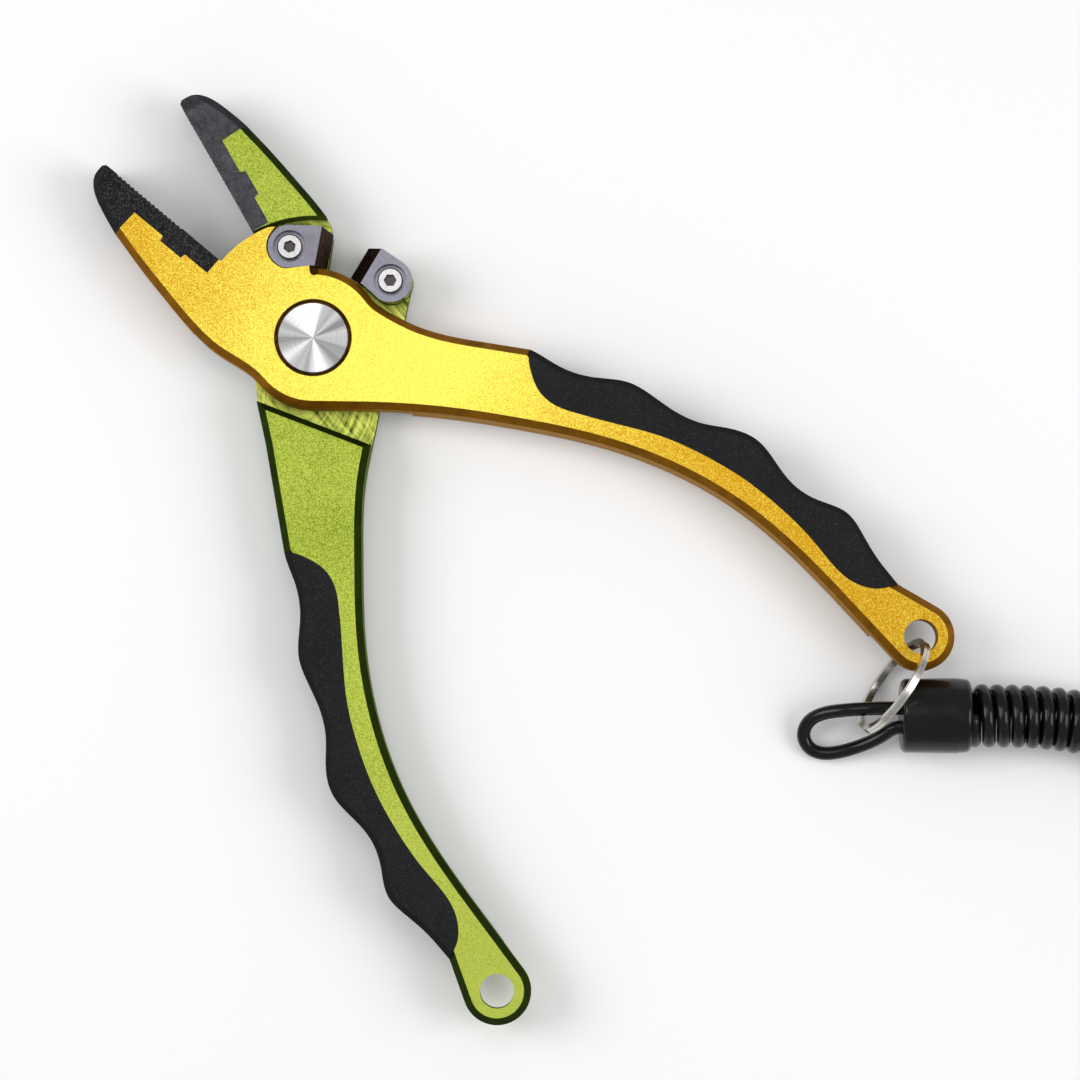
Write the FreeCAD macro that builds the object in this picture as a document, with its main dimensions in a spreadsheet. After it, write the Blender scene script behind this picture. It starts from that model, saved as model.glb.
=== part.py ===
"""Fishing pliers: two crossed aluminium halves on a pivot, with jaw inserts, side cutters,
rubber grips, a return spring and a coiled lanyard. Millimetres.

Frame: +Z is the pivot axis, upwards. The pliers lie on the plane Z = 0, and the origin is where
the pivot axis meets it. +X is the pliers' middle line, towards the jaw tips, and +Y is to its left.
Each half is drawn in its closed position, with its gripping face along +X, and is then turned
about the pivot by half of the opening angle.
"""
import FreeCAD, Part

import math
import os

from FreeCAD import Placement, Rotation, Vector

DOC = FreeCAD.newDocument("fishing_pliers")

# ---------------------------------------------------------------- driving dimensions

SIZES = {
    "half_opening": 10.0,       # degrees that each half is turned from its closed position
    "total_thickness": 11.0,
    "lap_floor_low": 5.4,       # the green half's lap face
    "lap_floor_high": 5.6,      # the gold half's lap face
    "lap_step_radius": 21.6,    # where a jaw grows to its full thickness
    "plate_radius": 21.1,       # the other half's plate, which turns inside that step
    "boss_radius": 12.4,        # the round of each plate about the pivot
    "green_step": 13.9,         # pivot to the straight step of the green handle
    "gold_step": 16.5,          # pivot to the straight step under the gold handle
    "edge_chamfer": 1.25,
    "step_chamfer": 1.0,
    "cap_dia": 12.7,
    "cap_seat_dia": 13.7,
    "cap_seat_depth": 1.9,
    "cap_thickness": 1.85,
    "barrel_dia": 7.0,
    "bore_dia": 7.06,
    "thread_dia": 4.0,
    "thread_shank_dia": 3.96,
    "screw_head_dia": 11.0,
    "screw_head_thickness": 1.4,
    "screw_seat_dia": 11.7,
    "screw_seat_depth": 1.9,
    "screw_head_rise": 0.1,     # the head's outer face above the ground plane
    "screw_shank_length": 6.6,
    "screw_socket": 3.0,        # across the flats
    "screw_socket_depth": 1.5,
    "barrel_thread_length": 6.2,
    "back_washer_thickness": 0.35,
    "spring_pocket_dia": 11.0,
    "spring_pocket_depth": 1.6,
    "spring_wire": 1.0,
    "spring_coil_dia": 9.4,
    "washer_inner_dia": 13.0,
    "washer_outer_dia": 19.6,
    "washer_thickness": 0.46,
    "washer_seat_depth": 0.3,
    "stop_radius": 11.3,        # pivot to the stop boss
    "stop_dia": 1.8,
    "stop_height": 1.2,
    "stop_groove_depth": 1.5,
    "ring_hole_dia": 6.0,
    "lug_relief_radius": 8.5,
    "lug_relief_depth": 5.4,    # the lug is thinned by this much from beneath
    "blade_floor": 7.5,         # the ledge and the boss that the blades lie on
    "blade_thickness": 2.9,
    "blade_top_bevel": 2.15,
    "blade_bottom_bevel": 0.7,
    "blade_seat_dia": 5.8,      # counterbore for a blade's screw
    "blade_seat_depth": 1.8,
    "blade_hole_dia": 2.8,
    "blade_screw_dia": 2.5,
    "blade_thread_dia": 2.54,
    "blade_screw_head": 4.45,
    "blade_screw_head_height": 1.7,
    "blade_screw_socket": 2.0,  # across the flats
    "blade_socket_depth": 1.1,
    "insert_screw_dia": 2.0,
    "insert_thread_dia": 2.04,
    "insert_hole_dia": 2.24,
    "insert_screw_head": 3.8,
    "insert_head_height": 1.6,
    "insert_screw_length": 6.5,
    "insert_screw_end": 9.7,    # the middle line to the head's outer face
    "insert_seat_dia": 4.2,
    "insert_seat_from": 8.1,    # the middle line to the bottom of the screw's seat
    "insert_hole_from": 3.0,
    "insert_thread_from": 1.4,
    "insert_thread_length": 6.0,
    "tip_facet_drop": 2.2,      # how far the tip's sloping facets fall
    "grip_wall": 3.6,           # rubber above and below the handle's web
    "grip_chamfer": 1.0,
    "cord_dia": 2.4,
    "coil_dia": 11.3,
    "cord_cap_dia": 13.2,
    "cord_cap_length": 12.2,
    "clip_thickness": 3.0,
    "clip_pin_dia": 1.2,
    "ring_outer_dia": 19.0,
    "ring_wall": 1.2,           # radial width of the split ring's wire
    "ring_strand": 0.56,        # its height along the ring's axis
    "ring_pitch": 0.62,
    "ring_turns": 1.96,
    "ring_clearance": 0.12,     # its lowest point above the ground plane
    "ring_lean": 13.0,          # degrees from upright
}


def make_sheet():
    sheet = DOC.addObject("Spreadsheet::Sheet", "sizes")
    for row, (alias, value) in enumerate(SIZES.items(), start=1):
        sheet.set(f"A{row}", alias)
        sheet.set(f"B{row}", str(value))
        sheet.setAlias(f"B{row}", alias)
    DOC.recompute()
    return sheet


SHEET = make_sheet()


def size(alias):
    return float(getattr(SHEET, alias))


def bind(feature, **expressions):
    """Ties properties of a feature to formulas in the sheet's aliases, written as {alias}."""
    for prop, formula in expressions.items():
        text = formula
        for alias in sorted(SIZES, key=len, reverse=True):
            text = text.replace("{" + alias + "}", "sizes." + alias)
        feature.setExpression(prop.replace("__", "."), text)


# ---------------------------------------------------------------- outlines

# Edges that both halves share, in the closed position of the half whose jaw is at +Y.
JAW_OUTER = [(38.6, 8.45), (33.3, 9.75), (27.0, 11.05), (19.0, 12.5)]
TIP_OUTER = [(48.25, 2.7), (47.0, 4.6), (44.9, 6.0), (42.1, 7.2), (38.6, 8.45)]
INNER_EDGE = [(-26.5, -4.8), (-37.4, -11.5), (-50.0, -18.2), (-64.0, -23.3), (-78.0, -25.6),
              (-94.0, -25.15), (-109.0, -23.4)]
LUG_CENTRE, LUG_RADIUS = (-115.25, -28.65), 5.95
LUG_FROM, LUG_TO = 83.0, 280.0      # where the round end of a handle starts and stops
LUG_END = (LUG_CENTRE[0] + LUG_RADIUS * math.cos(math.radians(LUG_TO)),
           LUG_CENTRE[1] + LUG_RADIUS * math.sin(math.radians(LUG_TO)))
GRIP_END = (LUG_END[0] + 8.0 * math.sin(math.radians(80.0)),
            LUG_END[1] + 8.0 * math.cos(math.radians(80.0)))
GRIP_START = (-30.4, -23.1)
GRIP_WAVE = [GRIP_END, (-101.0, -34.2), (-96.5, -35.7), (-91.5, -37.0), (-86.0, -35.4),
             (-81.0, -34.75), (-76.0, -35.8), (-71.5, -36.65), (-67.0, -35.5), (-62.0, -32.7),
             (-57.0, -31.2), (-51.5, -30.7), (-47.5, -29.9), (-42.0, -26.5), (-36.0, -24.1),
             GRIP_START]
GRIP_INNER = [GRIP_START, (-33.3, -20.0), (-36.5, -18.4), (-40.0, -18.3), (-44.0, -19.7),
              (-50.0, -22.5), (-58.0, -26.2), (-66.0, -28.5), (-74.0, -29.8), (-82.0, -30.0),
              (-90.0, -29.3), (-95.0, -28.35), (-98.8, -28.1), (-102.1, -28.9), (-104.5, -30.5),
              GRIP_END]
# The edge of the aluminium tongue inside the rubber, from the handle's end towards the pivot.
WEB_EDGE = [(-103.0, -32.4), (-98.0, -32.1), (-91.5, -33.1), (-80.0, -32.4), (-71.5, -33.4),
            (-65.0, -31.7), (-58.0, -29.2), (-50.0, -26.9), (-41.0, -23.4), GRIP_START]

SEAT_ROOT_X = 21.6
SEAT = [(SEAT_ROOT_X, 3.3), (26.7, 3.35), (26.95, 4.3), (31.6, 4.3), (31.85, 3.35), (38.35, 3.4),
        (38.6, 8.45)]
GRIP_FACE_Y = 0.15
TOOTH_START, TOOTH_PITCH, TOOTH_COUNT, TOOTH_DEPTH = 30.0, 0.95, 16, 0.38
KEY_MIDDLE_X = 29.3
TIP_FACET_X, TIP_FACET_END = 45.9, 50.0     # where the tip starts to slope, and beyond its end

# The blades meet on this ray from the pivot, in the closed position.
CUT_ANGLE = -60.5
CUT_NEAR, CUT_FAR = 12.6, 18.8
EDGE_MARGIN = 0.04          # half of the gap between the closed cutting edges
LEDGE_BACK = 1.4            # the seats' distance back from the cutting ray
# Each blade's side of that ray, its screw along and beside the ray, and how deep the screw goes.
BLADES = {
    "gold": {"side": 1, "screw": (15.15, 7.15), "shank": 2.9},
    "green": {"side": -1, "screw": (15.7, 6.4), "shank": 6.5},
}
BLADE_ROUND = 3.85          # the radius of a blade's end about its screw
BLADE_GAP = 0.22            # round the first blade, in its recess
BOSS_MARGIN = 0.1

SHOULDER_FROM = -27.5       # where the gold plate's shoulder starts, in degrees about the pivot
SEAT_ANGLE = math.degrees(math.asin(GRIP_FACE_Y / SIZES["plate_radius"]))
STEP_NORMAL = -129.1        # from the pivot straight to the handle's lap step, in degrees
WAVE_START, WAVE_END = (1.0, -0.2), (1.0, 0.3)      # headings at the ends of a grip's finger wave

STOP_TURN_OPEN = -165.0     # the stop boss, in the gold half's closed frame, when fully open
STOP_SLACK = 0.6            # more groove than the travel needs, in degrees
STOP_GAP = 0.08             # between the stop boss and the groove's end
GROOVE_HALF_WIDTH = 1.05

SPRING_TURNS = 2.0
SPRING_LEG = 4.2

JOIN = 0.3                  # how far a pad reaches into the solid that it joins


def vec(point, height=0.0):
    return Vector(point[0], point[1], height)


def polar(radius, degrees):
    return (radius * math.cos(math.radians(degrees)), radius * math.sin(math.radians(degrees)))


def mirror(point):
    return (point[0], -point[1])


def beside_cut(along, aside, side):
    """A point by its distance along the cutting ray and its distance to one side of it."""
    turn = math.radians(CUT_ANGLE)
    return (along * math.cos(turn) - side * aside * math.sin(turn),
            along * math.sin(turn) + side * aside * math.cos(turn))


class Outline:
    """A chain of lines, arcs and splines in the XY plane. Splines start along the last heading."""

    def __init__(self, start, heading=None):
        self.first = self.at = start
        self.heading = heading
        self.curves = []

    def line(self, *points):
        for point in points:
            length = math.dist(self.at, point)
            if length > 1e-6:
                self.curves.append(Part.LineSegment(vec(self.at), vec(point)))
                self.heading = ((point[0] - self.at[0]) / length, (point[1] - self.at[1]) / length)
            self.at = point
        return self

    def arc(self, through, end):
        curve = Part.Arc(vec(self.at), vec(through), vec(end))
        self.curves.append(curve)
        tangent = curve.tangent(curve.LastParameter)[0]
        ahead = (tangent.x * (end[0] - through[0]) + tangent.y * (end[1] - through[1])) > 0
        self.heading = (tangent.x, tangent.y) if ahead else (-tangent.x, -tangent.y)
        self.at = end
        return self

    def round(self, radius, start_angle, end_angle, centre=(0.0, 0.0)):
        """An arc about a point, which is the pivot unless another is given."""
        spots = [polar(radius, a) for a in (start_angle, (start_angle + end_angle) / 2, end_angle)]
        start, through, end = [(x + centre[0], y + centre[1]) for x, y in spots]
        if math.dist(self.at, start) > 0.002:
            self.line(start)
        else:
            start = self.at
        return self.arc(through, end)

    def smooth(self, points, end=None, start=None):
        """A curve from here through the points, with its headings at both ends."""
        through = [vec(self.at)] + [vec(p) for p in points]
        first = vec(start or self.heading)
        last = vec(end) if end else through[-1] - through[-2]
        curve = Part.BSplineCurve()
        curve.interpolate(Points=through, InitialTangent=first.normalize(),
                          FinalTangent=last.normalize(), Scale=False)
        self.curves.append(curve)
        self.at = points[-1]
        self.heading = (last.x, last.y)
        return self

    def close(self):
        return self.line(self.first).curves


def heading_on_round(degrees):
    return (-math.sin(math.radians(degrees)), math.cos(math.radians(degrees)))


def mirrored(curves):
    """The curves on the other side of the middle line."""
    flip = FreeCAD.Matrix(1, 0, 0, 0, 0, -1, 0, 0, 0, 0, 1, 0, 0, 0, 0, 1)
    out = []
    for curve in curves:
        if isinstance(curve, Part.LineSegment):
            out.append(Part.LineSegment(flip.multVec(curve.StartPoint), flip.multVec(curve.EndPoint)))
        elif isinstance(curve, Part.Arc) or isinstance(curve, Part.ArcOfCircle):
            ends = curve.FirstParameter, curve.LastParameter
            points = [flip.multVec(curve.value(t)) for t in (ends[0], sum(ends) / 2, ends[1])]
            out.append(Part.Arc(*points))
        else:
            copy = curve.copy()
            for i, pole in enumerate(curve.getPoles(), start=1):
                copy.setPole(i, flip.multVec(pole))
            out.append(copy)
    return out


def circle(centre, radius):
    return [Part.Circle(vec(centre), Vector(0, 0, 1), radius)]


# ---------------------------------------------------------------- features

def new_body(label):
    body = DOC.addObject("PartDesign::Body", label)
    body.Label = label
    return body


def origin_plane(body, role="XY_Plane"):
    return next(f for f in body.Origin.OriginFeatures if f.Role == role)


def sketch(body, name, curves, height="0", plane="XY_Plane"):
    sk = body.newObject("Sketcher::SketchObject", f"{body.Label}_{name}_sketch")
    sk.AttachmentSupport = [(origin_plane(body, plane), "")]
    sk.MapMode = "FlatFace"
    sk.addGeometry(curves, False)
    bind(sk, AttachmentOffset__Base__z=height)
    return sk


def volume(body):
    DOC.recompute()
    return body.Shape.Volume


def pad(body, name, curves, length, height="0"):
    """Adds material upwards from the height, and makes sure that it added some."""
    before = volume(body) if body.Tip else 0.0
    feature = body.newObject("PartDesign::Pad", f"{body.Label}_{name}")
    feature.Profile = sketch(body, name, curves, height)
    bind(feature, Length=length)
    if not volume(body) > before + 1e-3:
        raise ValueError(f"{name} of {body.Label} adds nothing")
    return feature


def pocket(body, name, curves, depth, height="0", upwards=False):
    """Cuts down from the height, or upwards from it, and makes sure that it cut something."""
    before = volume(body)
    feature = body.newObject("PartDesign::Pocket", f"{body.Label}_{name}")
    feature.Profile = sketch(body, name, curves, height)
    feature.Reversed = upwards
    bind(feature, Length=depth)
    if not volume(body) < before - 1e-3:
        raise ValueError(f"{name} of {body.Label} cuts nothing")
    return feature


def chamfer(body, name, is_edge, **sizes):
    """Chamfers the edges of the body that the test picks."""
    base = body.Tip
    edges = [f"Edge{i}" for i, e in enumerate(base.Shape.Edges, start=1) if is_edge(e)]
    feature = body.newObject("PartDesign::Chamfer", f"{body.Label}_{name}")
    feature.Base = (base, edges)
    bind(feature, **sizes)
    DOC.recompute()
    if not feature.Shape.Volume < base.Shape.Volume:
        raise ValueError(f"{name} of {body.Label} cuts nothing")
    return feature


def flat_at(edge, height):
    box = edge.BoundBox
    return abs(box.ZMin - height) < 1e-4 and abs(box.ZMax - height) < 1e-4


def middle(edge):
    ends = edge.FirstParameter, edge.LastParameter
    return edge.valueAt(sum(ends) / 2)


def turned(body, half):
    """Puts a piece drawn in the closed position where its half is."""
    turn = size("half_opening") * (1 if half == "gold" else -1)
    body.Placement = Placement(Vector(), Rotation(Vector(0, 0, 1), turn))
    sign = "" if half == "gold" else "-"
    bind(body, Placement__Rotation__Angle=f"{sign}{{half_opening}} * 1 deg")


def own(curves, half):
    """Curves drawn for the gold side, for either half."""
    return curves if half == "gold" else mirrored(curves)


def own_point(point, half):
    return point if half == "gold" else mirror(point)


# ---------------------------------------------------------------- the two halves

def lug_point(degrees):
    x, y = polar(LUG_RADIUS, degrees)
    return (LUG_CENTRE[0] + x, LUG_CENTRE[1] + y)


def handle_outline(path, neck):
    """From the neck's inner side round the handle to its outer side. Ends at the grip's start."""
    path.smooth(neck + INNER_EDGE + [lug_point(LUG_FROM)], end=heading_on_round(LUG_FROM))
    path.round(LUG_RADIUS, LUG_FROM, LUG_TO, LUG_CENTRE)
    path.line(GRIP_END)
    path.smooth(WEB_EDGE, end=(1.0, -0.1))
    return path


def recess_wall(path):
    """The wall round the first blade's seat, with a relief notch at its inner corner."""
    along, aside = BLADES["gold"]["screw"]
    radius = BLADE_ROUND + BLADE_GAP
    here = lambda a, b: beside_cut(a, b, 1)
    path.arc(here(CUT_NEAR - 1.75, 2.25), here(CUT_NEAR - 1.3, 2.75))
    path.line(here(CUT_NEAR - BLADE_GAP, 3.1), here(along - radius, aside))
    turn = math.radians(66.0)
    end = (along + radius * math.cos(turn), aside + radius * math.sin(turn))
    path.arc(here(along, aside + radius), here(*end))
    path.line(here(18.05, 10.3), polar(size("plate_radius"), SHOULDER_FROM))
    return path


def gold_outline():
    """The half's outline above the ledge that carries the first blade."""
    boss = size("boss_radius")
    notch = CUT_ANGLE + math.degrees(math.asin(1.8 / boss))
    path = Outline(JAW_OUTER[0])
    path.smooth(JAW_OUTER[1:] + [(11.5, 12.95), polar(boss, 80)], start=(-1.0, 0.24),
                end=heading_on_round(80))
    path.round(boss, 80, 129.4)
    handle_outline(path, [(-16.2, 2.75)])
    path.smooth([(-24.0, -19.25), (-17.8, -15.65), (-12.2, -13.3), (-7.6, -12.2), polar(boss, -104)],
                start=(0.83, 0.5), end=heading_on_round(-104))
    path.round(boss, -104, notch)
    recess_wall(path)
    path.round(size("plate_radius"), SHOULDER_FROM, SEAT_ANGLE)
    path.line((SEAT_ROOT_X, GRIP_FACE_Y), *SEAT)
    return path.close()


def ledge_outline():
    """The ledge under the first blade, reaching into the rest of the half."""
    here = lambda a, b: beside_cut(a, b, 1)
    path = Outline(here(10.5, LEDGE_BACK))
    path.line(here(CUT_FAR + 0.2, LEDGE_BACK), here(CUT_FAR + 0.4, 6.0))
    path.line(polar(size("plate_radius"), SHOULDER_FROM), here(15.0, 13.5), here(9.0, 9.0))
    return path.close()


def green_outline():
    """Drawn with its jaw at +Y, as the gold one, and mirrored when it is used."""
    boss, plate = size("boss_radius"), size("plate_radius")
    tab_turn = -CUT_ANGLE + math.degrees(math.asin(LEDGE_BACK / boss))
    path = Outline(JAW_OUTER[0])
    path.smooth(JAW_OUTER[1:] + [(16.7, 12.75)], start=(-1.0, 0.24), end=(-1.0, 0.08))
    path.line((14.5, 11.9), polar(boss, 40))
    path.round(boss, 40, tab_turn)
    path.line(mirror(beside_cut(CUT_FAR, LEDGE_BACK, -1)))
    path.smooth([(6.2, 19.5), (2.4, 20.75), (-0.4, 19.4)], start=(-0.1, 1.0), end=(-5.1, -4.5))
    path.line((-5.5, 14.9))
    path.smooth([(-8.6, 10.6), (-16.8, 3.5)], end=(-0.77, -0.64))
    handle_outline(path, [])
    path.line((-12.2, -16.5), (-4.6, -14.1))
    path.smooth([polar(boss, -88)], end=heading_on_round(-88))
    path.round(boss, -88, -52)
    path.smooth([(14.6, -10.6), polar(plate, -22)], end=heading_on_round(-22),
                start=heading_on_round(-52))
    path.round(plate, -22, SEAT_ANGLE)
    path.line((SEAT_ROOT_X, GRIP_FACE_Y), *SEAT)
    return path.close()


def lap_area(step, normal):
    """The area where a half is cut to its lap: a round, less what lies beyond a straight step."""
    radius = size("lap_step_radius")
    reach = math.degrees(math.acos(size(step) / radius))
    path = Outline(polar(radius, normal + reach))
    path.arc(polar(radius, normal + 180), polar(radius, normal - reach))
    return path.close()


def grip_area():
    path = Outline(GRIP_START)
    path.smooth(GRIP_INNER[1:], start=(-0.35, 1.0), end=(-0.55, -0.84))
    path.smooth(GRIP_WAVE[1:], start=WAVE_START, end=WAVE_END)
    return path.curves


def web_area():
    """What of a grip's area the tongue fills."""
    path = Outline(GRIP_END, lug_heading())
    path.smooth(WEB_EDGE, end=(1.0, -0.1))
    path.line((-24.0, -12.0), (-40.0, -10.0), (-60.0, -18.0), (-110.0, -22.0))
    return path.close()


def lug_heading():
    return heading_on_round(LUG_TO)


def cut_for_grip(body, half):
    top, wall = "{total_thickness}", "{grip_wall}"
    pocket(body, "grip_top", own(grip_area(), half), wall, top)
    pocket(body, "grip_bottom", own(grip_area(), half), wall, upwards=True)


def trim_to_grip(area, half):
    """The part of an area that lies inside the grip's outline."""
    zone = Part.Face(Part.Wire([c.toShape() for c in own(grip_area(), half)]))
    face = Part.Face(Part.Wire([c.toShape() for c in area]))
    wire = zone.common(face).Faces[0].OuterWire
    return [edge_curve(e) for e in Part.sortEdges(wire.Edges)[0]]


def edge_curve(edge):
    """An edge of a flat outline as sketch geometry."""
    first, last = edge.FirstParameter, edge.LastParameter
    if isinstance(edge.Curve, Part.Line):
        return Part.LineSegment(edge.valueAt(first), edge.valueAt(last))
    curve = edge.Curve.copy()
    curve.segment(first, last)
    return curve


def chamfer_rims(body, half, keeps_sharp):
    """The broad chamfer along the top and bottom rims, apart from the seats' and grips' edges."""
    top = size("total_thickness")
    plate = size("plate_radius")

    def is_rim(edge):
        if not (flat_at(edge, top) or flat_at(edge, 0)):
            return False
        spot = own_point((middle(edge).x, middle(edge).y), half)
        on_seat = spot[0] > SEAT_ROOT_X - 0.6 and spot[1] < 7.0
        shoulder = abs(math.hypot(*spot) - plate) < 0.05
        return not (on_seat or shoulder or keeps_sharp(spot))

    chamfer(body, "rim", is_rim, Size="{edge_chamfer}")


def beside_recess(spot):
    """Edges of the gold half's wall round its blade."""
    return spot[0] > 6.5 and spot[1] < -6.0


def hidden_notches(spot):
    """Edges of the green half's plate that lie under the gold one."""
    return math.hypot(*spot) < 21.0 and spot[0] > -5.0


def pivot_cuts(body, half):
    """The bore, and the spring's pocket in the lap face."""
    thick, deep = "{total_thickness}", "{spring_pocket_depth}"
    pocket(body, "bore", circle((0, 0), size("bore_dia") / 2), thick, thick)
    rim = circle((0, 0), size("spring_pocket_dia") / 2)
    if half == "gold":
        pocket(body, "spring_pocket", rim, deep, "{lap_floor_high}", upwards=True)
    else:
        pocket(body, "spring_pocket", rim, deep, "{lap_floor_low}")


def sector(inner, outer, start, end):
    path = Outline(polar(inner, start))
    path.line(polar(outer, start))
    path.arc(polar(outer, (start + end) / 2), polar(outer, end))
    path.line(polar(inner, end))
    path.arc(polar(inner, (start + end) / 2), polar(inner, start))
    return path.curves


def lug(body, half):
    """The hole at the handle's end, and the relief under it that a ring's wire needs."""
    centre = own_point(LUG_CENTRE, half)
    thick = "{total_thickness}"
    pocket(body, "lug_relief", circle(centre, size("lug_relief_radius")), "{lug_relief_depth}",
           upwards=True)
    pocket(body, "ring_hole", circle(centre, size("ring_hole_dia") / 2), thick, thick)


def cross_hole(body, name, half, diameter, start, depth):
    """A round hole along Y at the insert's key, running outwards from the middle line."""
    before = volume(body)
    outward = 1 if half == "gold" else -1
    sk = body.newObject("Sketcher::SketchObject", f"{body.Label}_{name}_sketch")
    sk.AttachmentSupport = [(origin_plane(body, "XZ_Plane"), "")]
    sk.MapMode = "FlatFace"
    # This plane's normal is -Y, and a pocket runs against its sketch's normal.
    bind(sk, AttachmentOffset__Base__z=f"{-outward} * {start}")
    spot = (KEY_MIDDLE_X, size("total_thickness") / 2)
    sk.addGeometry(circle(spot, size(diameter) / 2), False)
    feature = body.newObject("PartDesign::Pocket", f"{body.Label}_{name}")
    feature.Profile = sk
    feature.Reversed = half != "gold"
    bind(feature, Length=depth)
    if not volume(body) < before - 0.5:
        raise ValueError(f"{name} of {body.Label} cuts nothing")


def insert_screw_seat(body, half):
    """The counterbored hole through the jaw's outer wall into the insert's key."""
    thick = "{total_thickness}"
    cross_hole(body, "insert_seat", half, "insert_seat_dia", "{insert_seat_from}", thick)
    cross_hole(body, "insert_hole", half, "insert_hole_dia", "{insert_hole_from}", thick)


def gold_half():
    body = new_body("gold_half")
    top = "{total_thickness}"
    pad(body, "blank", gold_outline(), top)
    chamfer_rims(body, "gold", beside_recess)
    pad(body, "ledge", ledge_outline(), "{blade_floor}")
    pocket(body, "lap", lap_area("gold_step", STEP_NORMAL), "{lap_floor_high}", upwards=True)
    pivot_cuts(body, "gold")
    pocket(body, "cap_seat", circle((0, 0), size("cap_seat_dia") / 2), "{cap_seat_depth}", top)
    middle_radius = size("stop_radius")
    wide = math.degrees((size("stop_dia") / 2 + STOP_GAP) / middle_radius)
    travel = 2 * size("half_opening")
    groove = sector(middle_radius - GROOVE_HALF_WIDTH, middle_radius + GROOVE_HALF_WIDTH,
                    STOP_TURN_OPEN - wide, STOP_TURN_OPEN + travel + wide + STOP_SLACK)
    pocket(body, "stop_groove", groove, "{stop_groove_depth}", "{lap_floor_high}", upwards=True)
    pocket(body, "spring_leg_slot", spring_slot(1), "{spring_pocket_depth}", "{lap_floor_high}",
           upwards=True)
    hole = beside_cut(*BLADES["gold"]["screw"], 1)
    pocket(body, "blade_thread", circle(hole, size("blade_thread_dia") / 2), "{blade_floor}",
           "{blade_floor}")
    lug(body, "gold")
    cut_for_grip(body, "gold")
    insert_screw_seat(body, "gold")
    turned(body, "gold")
    return body


def green_half():
    body = new_body("green_half")
    top = "{total_thickness}"
    pad(body, "blank", mirrored(green_outline()), top)
    chamfer_rims(body, "green", hidden_notches)
    lap = mirrored(lap_area("green_step", STEP_NORMAL))
    pocket(body, "lap", lap, f"{top} - {{lap_floor_low}}", top)
    step = size("green_step")
    across, up = polar(1.0, -STEP_NORMAL)

    def on_step(edge):
        spot = middle(edge)
        away = spot.x * across + spot.y * up
        return flat_at(edge, size("total_thickness")) and abs(away - step) < 0.05

    chamfer(body, "step_edge", on_step, Size="{step_chamfer}")
    pad(body, "blade_boss", boss_outline(), f"{{blade_floor}} - {{lap_floor_low}} + {JOIN}",
        f"{{lap_floor_low}} - {JOIN}")
    pivot_cuts(body, "green")
    pocket(body, "screw_seat", circle((0, 0), size("screw_seat_dia") / 2), "{screw_seat_depth}",
           upwards=True)
    seat = circle((0, 0), size("washer_outer_dia") / 2 + 0.1)
    pocket(body, "washer_seat", seat, "{washer_seat_depth}", "{lap_floor_low}")
    turn = STOP_TURN_OPEN + 2 * size("half_opening")
    pad(body, "stop_boss", circle(polar(size("stop_radius"), turn), size("stop_dia") / 2),
        f"{{stop_height}} + {JOIN}", f"{{lap_floor_low}} - {JOIN}")
    pocket(body, "spring_leg_slot", spring_slot(-1), "{spring_pocket_depth}", "{lap_floor_low}")
    hole = beside_cut(*BLADES["green"]["screw"], -1)
    pocket(body, "blade_thread", circle(hole, size("blade_thread_dia") / 2), "{blade_floor}",
           "{blade_floor}")
    lug(body, "green")
    cut_for_grip(body, "green")
    insert_screw_seat(body, "green")
    turned(body, "green")
    return body


# ---------------------------------------------------------------- cutters

def blade_outline(half):
    """A blade in plan: a straight cutting edge, and a round end about its screw."""
    along, aside = BLADES[half]["screw"]
    here = lambda a, b: beside_cut(a, b, BLADES[half]["side"])
    path = Outline(here(CUT_NEAR, EDGE_MARGIN))
    path.line(here(CUT_FAR, EDGE_MARGIN), here(CUT_FAR + 1.0, 2.4), here(along + BLADE_ROUND, aside))
    path.arc(here(along, aside + BLADE_ROUND), here(along - BLADE_ROUND, aside))
    path.line(here(CUT_NEAR, 2.6))
    return path.close()


def boss_outline():
    """The raised seat on the tab, a little wider than the second blade's round end."""
    along, aside = BLADES["green"]["screw"]
    radius = BLADE_ROUND + BOSS_MARGIN
    near, far = CUT_NEAR + BOSS_MARGIN, CUT_FAR - BOSS_MARGIN
    here = lambda a, b: beside_cut(a, b, -1)
    path = Outline(here(near, LEDGE_BACK))
    path.line(here(far, LEDGE_BACK), here(CUT_FAR + 0.8, 2.6), here(along + radius, aside))
    path.arc(here(along, aside + radius), here(along - BLADE_ROUND, aside))
    path.line(here(near, 2.6))
    return path.close()


def cutter(half):
    body = new_body(f"{half}_cutter")
    top = "{blade_floor} + {blade_thickness}"
    pad(body, "blank", blade_outline(half), "{blade_thickness}", "{blade_floor}")
    side = BLADES[half]["side"]
    centre = beside_cut(*BLADES[half]["screw"], side)
    mid = Vector(*beside_cut((CUT_NEAR + CUT_FAR) / 2, EDGE_MARGIN, side), 0)

    def edge_at(height):
        def test(edge):
            spot = middle(edge)
            return flat_at(edge, height) and math.hypot(spot.x - mid.x, spot.y - mid.y) < 0.1
        return test

    low, high = size("blade_floor"), size("blade_floor") + size("blade_thickness")
    chamfer(body, "top_bevel", edge_at(high), Size="{blade_top_bevel}")
    chamfer(body, "bottom_bevel", edge_at(low), Size="{blade_bottom_bevel}")
    pocket(body, "screw_seat", circle(centre, size("blade_seat_dia") / 2), "{blade_seat_depth}", top)
    pocket(body, "screw_hole", circle(centre, size("blade_hole_dia") / 2), "{blade_thickness}", top)
    turned(body, half)
    return body


def socket(body, centre, flats, depth, height, upwards=False):
    """A hexagonal socket for a key."""
    radius = flats / 2 / math.cos(math.radians(30))
    corners = [polar(radius, turn) for turn in range(0, 360, 60)]
    first, *others = [(centre[0] + x, centre[1] + y) for x, y in corners]
    pocket(body, "socket", Outline(first).line(*others).close(), depth, height, upwards)


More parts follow.
